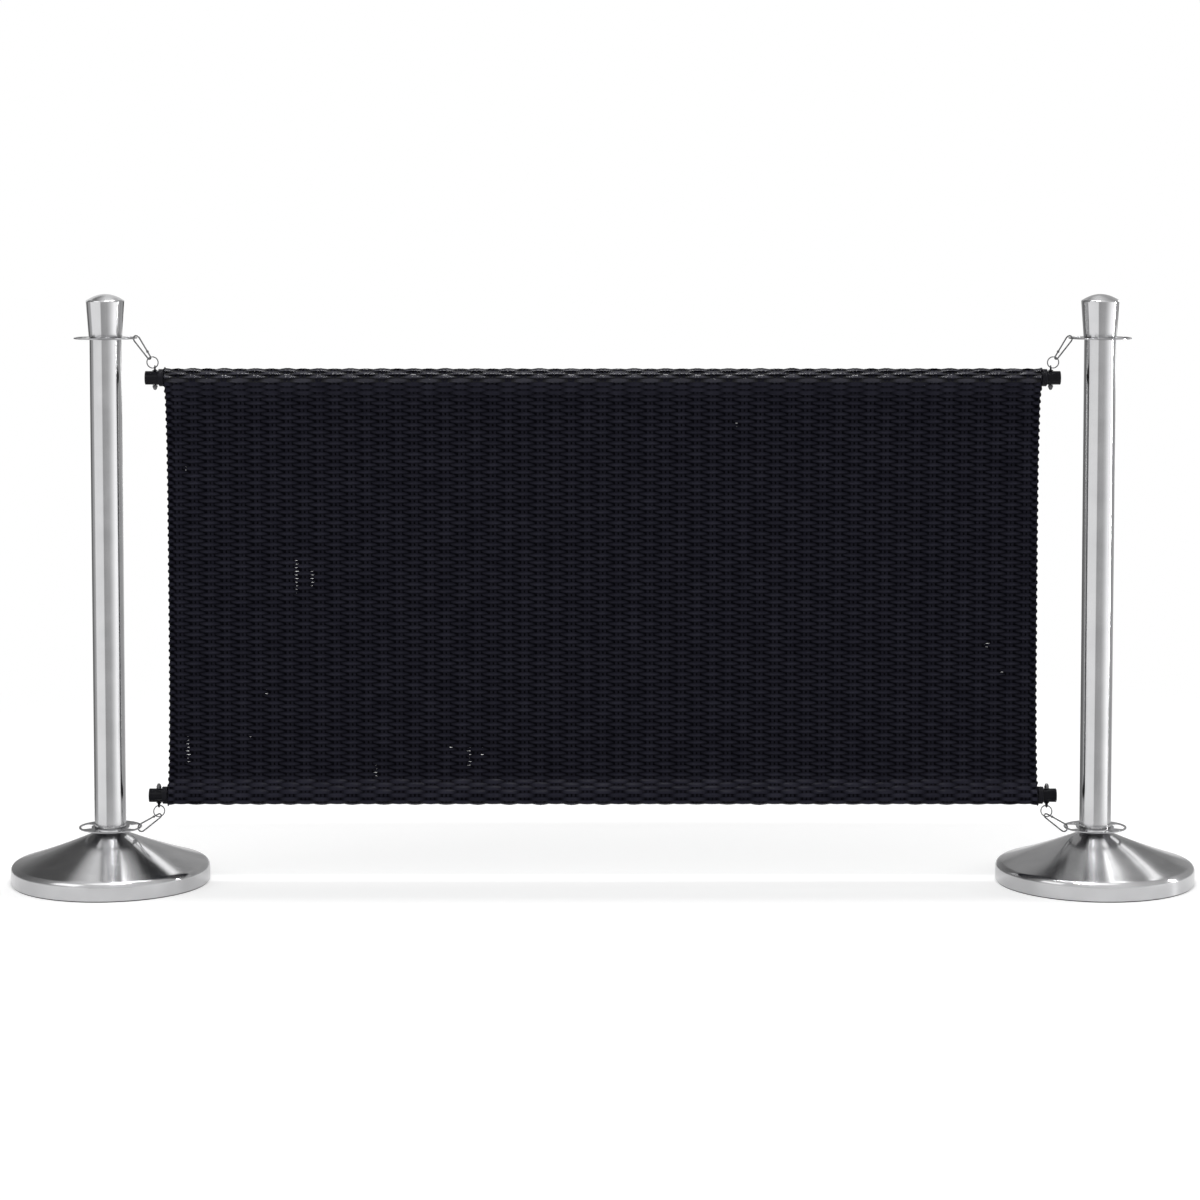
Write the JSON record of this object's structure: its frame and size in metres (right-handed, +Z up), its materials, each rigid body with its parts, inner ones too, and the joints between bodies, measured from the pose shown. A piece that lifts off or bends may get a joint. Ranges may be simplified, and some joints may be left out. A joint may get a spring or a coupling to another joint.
{
  "type": "cafe barrier",
  "caption": "Free-standing barrier: weighted steel posts with slotted plates carry a woven screen on rods, rings and snap hooks.",
  "frame": {"origin": "on the floor, midway between the two posts", "axes": "+X along the barrier to the right-hand post, +Y to the back, +Z up; the pictured side faces -Y"},
  "size_m": [1.9148, 0.32, 0.952],
  "materials": {
    "satin_steel": "satin stainless steel",
    "bright_steel": "polished stainless steel",
    "plain_steel": "zinc plated steel wire and fittings",
    "cast_iron": "black coated casting",
    "black_rubber": "matte black rubber",
    "black_paint": "black powder coat",
    "black_weave": "flat black resin strands in plain weave, slightly glossy"
  },
  "bodies": {
    "panel": {"woven_panel": "black_weave", "top_rod": "black_paint", "bottom_rod": "black_paint", "left_top_eye_bolt": "black_paint", "left_top_rod_washer": "plain_steel", "left_top_cap_nut": "plain_steel", "left_top_rod_end_cap": "black_rubber", "left_bottom_eye_bolt": "black_paint", "left_bottom_rod_washer": "plain_steel", "left_bottom_cap_nut": "plain_steel", "left_bottom_rod_end_cap": "black_rubber", "right_top_eye_bolt": "black_paint", "right_top_rod_washer": "plain_steel", "right_top_cap_nut": "plain_steel", "right_top_rod_end_cap": "black_rubber", "right_bottom_eye_bolt": "black_paint", "right_bottom_rod_washer": "plain_steel", "right_bottom_cap_nut": "plain_steel", "right_bottom_rod_end_cap": "black_rubber"},
    "left_hooks": {"left_top_hook_body": "plain_steel", "left_top_gate_pin": "plain_steel", "left_bottom_hook_body": "plain_steel", "left_bottom_gate_pin": "plain_steel"},
    "left_post": {"left_floor_ring": "black_rubber", "left_base_weight": "cast_iron", "left_base_cover": "satin_steel", "left_base_bolt": "plain_steel", "left_neck_collar": "bright_steel", "left_lower_plate": "bright_steel", "left_tube_foot_plug": "plain_steel", "left_post_tube": "satin_steel", "left_tube_head_plug": "plain_steel", "left_upper_plate": "bright_steel", "left_cap_stud": "plain_steel", "left_top_cap": "bright_steel"},
    "left_top_ring_body": {"left_top_ring": "plain_steel"},
    "left_top_gate_body": {"left_top_hook_gate": "plain_steel"},
    "left_bottom_ring_body": {"left_bottom_ring": "plain_steel"},
    "left_bottom_gate_body": {"left_bottom_hook_gate": "plain_steel"},
    "right_hooks": {"right_top_hook_body": "plain_steel", "right_top_gate_pin": "plain_steel", "right_bottom_hook_body": "plain_steel", "right_bottom_gate_pin": "plain_steel"},
    "right_post": {"right_floor_ring": "black_rubber", "right_base_weight": "cast_iron", "right_base_cover": "satin_steel", "right_base_bolt": "plain_steel", "right_neck_collar": "bright_steel", "right_lower_plate": "bright_steel", "right_tube_foot_plug": "plain_steel", "right_post_tube": "satin_steel", "right_tube_head_plug": "plain_steel", "right_upper_plate": "bright_steel", "right_cap_stud": "plain_steel", "right_top_cap": "bright_steel"},
    "right_top_ring_body": {"right_top_ring": "plain_steel"},
    "right_top_gate_body": {"right_top_hook_gate": "plain_steel"},
    "right_bottom_ring_body": {"right_bottom_ring": "plain_steel"},
    "right_bottom_gate_body": {"right_bottom_hook_gate": "plain_steel"}
  },
  "joints": [
    {"name": "left_panel_swing", "type": "hinge", "parent": "panel", "child": "left_hooks", "pos_m": [-0.7185, 0, 0.479], "axis": [0, 0, 1], "range_deg": [-25, 25]},
    {"name": "left_post_turn", "type": "hinge", "parent": "left_hooks", "child": "left_post", "pos_m": [-0.79745, 0, 0.479], "axis": [0, 0, 1], "range_deg": [-22, 22]},
    {"name": "left_top_ring_spin", "type": "hinge", "parent": "left_hooks", "child": "left_top_ring_body", "pos_m": [-0.72225, 0, 0.84229], "axis": [-0.3372, 0.9135, -0.2274], "continuous": true},
    {"name": "left_top_gate_open", "type": "hinge", "parent": "left_hooks", "child": "left_top_gate_body", "pos_m": [-0.72988, -0.00231, 0.85972], "axis": [-0.4636, -0.829, -0.3127], "range_deg": [0, 20], "stiffness_Nm_per_rad": 0.01, "springref_deg": -20.05},
    {"name": "left_bottom_ring_spin", "type": "hinge", "parent": "left_hooks", "child": "left_bottom_ring_body", "pos_m": [-0.7185, 0, 0.11455], "axis": [-0.3907, 0.9205, 0], "continuous": true},
    {"name": "left_bottom_gate_open", "type": "hinge", "parent": "left_hooks", "child": "left_bottom_gate_body", "pos_m": [-0.72768, 0.00106, 0.1052], "axis": [-0.2231, -0.927, 0.3014], "range_deg": [0, 20], "stiffness_Nm_per_rad": 0.01, "springref_deg": -20.05},
    {"name": "right_panel_swing", "type": "hinge", "parent": "panel", "child": "right_hooks", "pos_m": [0.7185, 0, 0.479], "axis": [0, 0, 1], "range_deg": [-25, 25]},
    {"name": "right_post_turn", "type": "hinge", "parent": "right_hooks", "child": "right_post", "pos_m": [0.79745, 0, 0.479], "axis": [0, 0, 1], "range_deg": [-22, 22]},
    {"name": "right_top_ring_spin", "type": "hinge", "parent": "right_hooks", "child": "right_top_ring_body", "pos_m": [0.72225, 0, 0.84229], "axis": [0.3372, 0.9135, -0.2274], "continuous": true},
    {"name": "right_top_gate_open", "type": "hinge", "parent": "right_hooks", "child": "right_top_gate_body", "pos_m": [0.72988, -0.00231, 0.85972], "axis": [-0.4636, 0.829, 0.3127], "range_deg": [0, 20], "stiffness_Nm_per_rad": 0.01, "springref_deg": -20.05},
    {"name": "right_bottom_ring_spin", "type": "hinge", "parent": "right_hooks", "child": "right_bottom_ring_body", "pos_m": [0.7185, 0, 0.11455], "axis": [0.3907, 0.9205, 0], "continuous": true},
    {"name": "right_bottom_gate_open", "type": "hinge", "parent": "right_hooks", "child": "right_bottom_gate_body", "pos_m": [0.72768, 0.00106, 0.1052], "axis": [-0.2231, 0.927, -0.3014], "range_deg": [0, 20], "stiffness_Nm_per_rad": 0.01, "springref_deg": -20.05}
  ]
}
